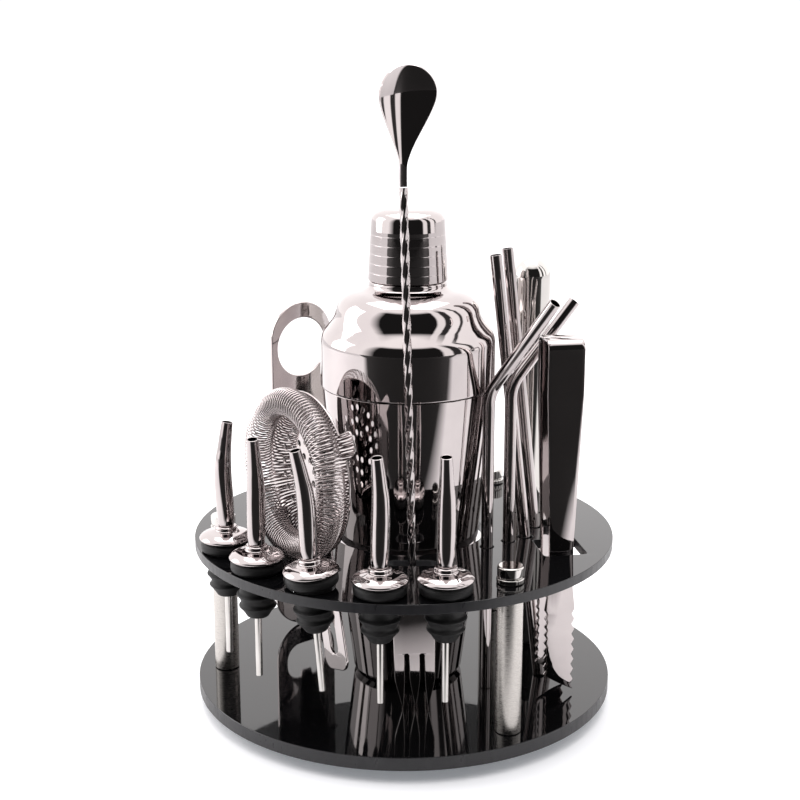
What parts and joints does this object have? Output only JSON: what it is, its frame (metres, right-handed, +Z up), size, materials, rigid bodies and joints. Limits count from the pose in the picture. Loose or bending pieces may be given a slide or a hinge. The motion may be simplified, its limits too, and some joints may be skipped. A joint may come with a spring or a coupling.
{
  "type": "cocktail shaker set on a two-tier stand",
  "caption": "Cocktail shaker set: shaker, bar spoon, pourers, strainer, opener, muddler, tongs and straws held upright in cut-outs of a round two-tier stand.",
  "frame": {"origin": "on the ground, under the centre of the two round plates", "axes": "+Z up, -Y towards the side with the pourers, +X to the right seen from there"},
  "size_m": [0.217, 0.217, 0.3286],
  "materials": {
    "black_acrylic": "black acrylic sheet, glossy faces and satin cut edge",
    "black_rubber": "matte black rubber",
    "black_nylon": "matte black nylon",
    "gunmetal_chrome": "mirror-polished gunmetal plating on stainless steel",
    "brushed_steel": "satin stainless steel",
    "polished_steel": "polished stainless steel"
  },
  "bodies": {
    "stand": {"lower_plate": "black_acrylic", "upper_plate": "black_acrylic", "post_left": "brushed_steel", "post_right": "brushed_steel", "post_back": "brushed_steel", "post_cap_left": "polished_steel", "post_cap_right": "polished_steel", "post_cap_back": "polished_steel", "foot_left": "polished_steel", "foot_right": "polished_steel", "foot_back": "polished_steel"},
    "shaker_cup": {"shaker_cup": "gunmetal_chrome"},
    "shaker_lid": {"shaker_lid_skirt": "gunmetal_chrome", "shaker_lid_shoulder": "gunmetal_chrome", "shaker_lid_neck": "gunmetal_chrome", "shaker_lid_sieve": "gunmetal_chrome"},
    "shaker_cap": {"shaker_cap": "gunmetal_chrome"},
    "spoon": {"spoon_stem": "gunmetal_chrome", "spoon_bowl": "gunmetal_chrome", "spoon_fork": "gunmetal_chrome"},
    "pourer_1": {"pourer_1_stopper": "black_rubber", "pourer_1_collar": "gunmetal_chrome", "pourer_1_spout": "gunmetal_chrome", "pourer_1_vent_tube": "polished_steel"},
    "pourer_2": {"pourer_2_stopper": "black_rubber", "pourer_2_collar": "gunmetal_chrome", "pourer_2_spout": "gunmetal_chrome", "pourer_2_vent_tube": "polished_steel"},
    "pourer_3": {"pourer_3_stopper": "black_rubber", "pourer_3_collar": "gunmetal_chrome", "pourer_3_spout": "gunmetal_chrome", "pourer_3_vent_tube": "polished_steel"},
    "pourer_4": {"pourer_4_stopper": "black_rubber", "pourer_4_collar": "gunmetal_chrome", "pourer_4_spout": "gunmetal_chrome", "pourer_4_vent_tube": "polished_steel"},
    "pourer_5": {"pourer_5_stopper": "black_rubber", "pourer_5_collar": "gunmetal_chrome", "pourer_5_spout": "gunmetal_chrome", "pourer_5_vent_tube": "polished_steel"},
    "strainer": {"strainer_disc": "gunmetal_chrome", "strainer_handle": "gunmetal_chrome", "strainer_spring": "gunmetal_chrome"},
    "opener": {"bottle_opener": "gunmetal_chrome"},
    "muddler": {"muddler_handle": "polished_steel", "muddler_head": "black_nylon"},
    "tongs": {"tongs_bow": "gunmetal_chrome"},
    "tongs_near": {"tongs_near_leg": "gunmetal_chrome"},
    "tongs_far": {"tongs_far_leg": "gunmetal_chrome"},
    "straw_bent_left": {"bent_straw_left": "gunmetal_chrome"},
    "straw_bent_right": {"bent_straw_right": "gunmetal_chrome"},
    "straw_straight_front": {"straight_straw_front": "gunmetal_chrome"},
    "straw_straight_back": {"straight_straw_back": "gunmetal_chrome"}
  },
  "joints": [
    {"name": "shaker_lift", "type": "slide", "parent": "stand", "child": "shaker_cup", "axis": [-0.0597, 0.0796, 0.995], "range_m": [0, 0.09]},
    {"name": "lid_lift", "type": "slide", "parent": "shaker_cup", "child": "shaker_lid", "axis": [-0.0994, 0.0398, 0.9943], "range_m": [0, 0.058]},
    {"name": "cap_lift", "type": "slide", "parent": "shaker_lid", "child": "shaker_cap", "axis": [0, 0, 1], "range_m": [0, 0.035]},
    {"name": "spoon_lift", "type": "slide", "parent": "stand", "child": "spoon", "axis": [-0.024, 0.0256, 0.9994], "range_m": [0, 0.09]},
    {"name": "pourer_1_lift", "type": "slide", "parent": "stand", "child": "pourer_1", "axis": [0, 0, 1], "range_m": [0, 0.06]},
    {"name": "pourer_2_lift", "type": "slide", "parent": "stand", "child": "pourer_2", "axis": [0, 0, 1], "range_m": [0, 0.06]},
    {"name": "pourer_4_lift", "type": "slide", "parent": "stand", "child": "pourer_4", "axis": [0, 0, 1], "range_m": [0, 0.036]},
    {"name": "pourer_5_lift", "type": "slide", "parent": "stand", "child": "pourer_5", "axis": [0, 0, 1], "range_m": [0, 0.06]},
    {"name": "pourer_3_turn", "type": "hinge", "parent": "stand", "child": "pourer_3", "pos_m": [-0.04331, -0.085, 0.09097], "axis": [-0.0758, -0.0203, 0.9969], "range_deg": [-180, 180]},
    {"name": "strainer_lift", "type": "slide", "parent": "stand", "child": "strainer", "axis": [-0.141, 0.2171, 0.9659], "range_m": [0, 0.09]},
    {"name": "opener_lift", "type": "slide", "parent": "stand", "child": "opener", "axis": [0, 0, 1], "range_m": [0, 0.09]},
    {"name": "muddler_lift", "type": "slide", "parent": "stand", "child": "muddler", "axis": [0, 0, 1], "range_m": [0, 0.09]},
    {"name": "tongs_lift", "type": "slide", "parent": "stand", "child": "tongs", "axis": [0, 0, 1], "range_m": [0, 0.09]},
    {"name": "tongs_near_squeeze", "type": "hinge", "parent": "tongs", "child": "tongs_near", "pos_m": [0.07865, -0.03936, 0.1711], "axis": [0.9848, 0.1736, 0], "range_deg": [0, 3.1], "stiffness_Nm_per_rad": 2},
    {"name": "tongs_far_squeeze", "type": "hinge", "parent": "tongs", "child": "tongs_far", "pos_m": [0.07535, -0.02064, 0.1711], "axis": [0.9848, 0.1736, 0], "range_deg": [-3.1, 0], "stiffness_Nm_per_rad": 2},
    {"name": "straw_bent_left_lift", "type": "slide", "parent": "stand", "child": "straw_bent_left", "axis": [0, 0, 1], "range_m": [0, 0.09]},
    {"name": "straw_bent_right_lift", "type": "slide", "parent": "stand", "child": "straw_bent_right", "axis": [0, 0, 1], "range_m": [0, 0.09]},
    {"name": "straw_straight_front_lift", "type": "slide", "parent": "stand", "child": "straw_straight_front", "axis": [-0.1162, 0, 0.9932], "range_m": [0, 0.09]},
    {"name": "straw_straight_back_lift", "type": "slide", "parent": "stand", "child": "straw_straight_back", "axis": [-0.1093, 0.0298, 0.9936], "range_m": [0, 0.09]}
  ],
  "couplings": [
    {"joint": "tongs_far_squeeze", "follows": "tongs_near_squeeze", "ratio": -1}
  ]
}
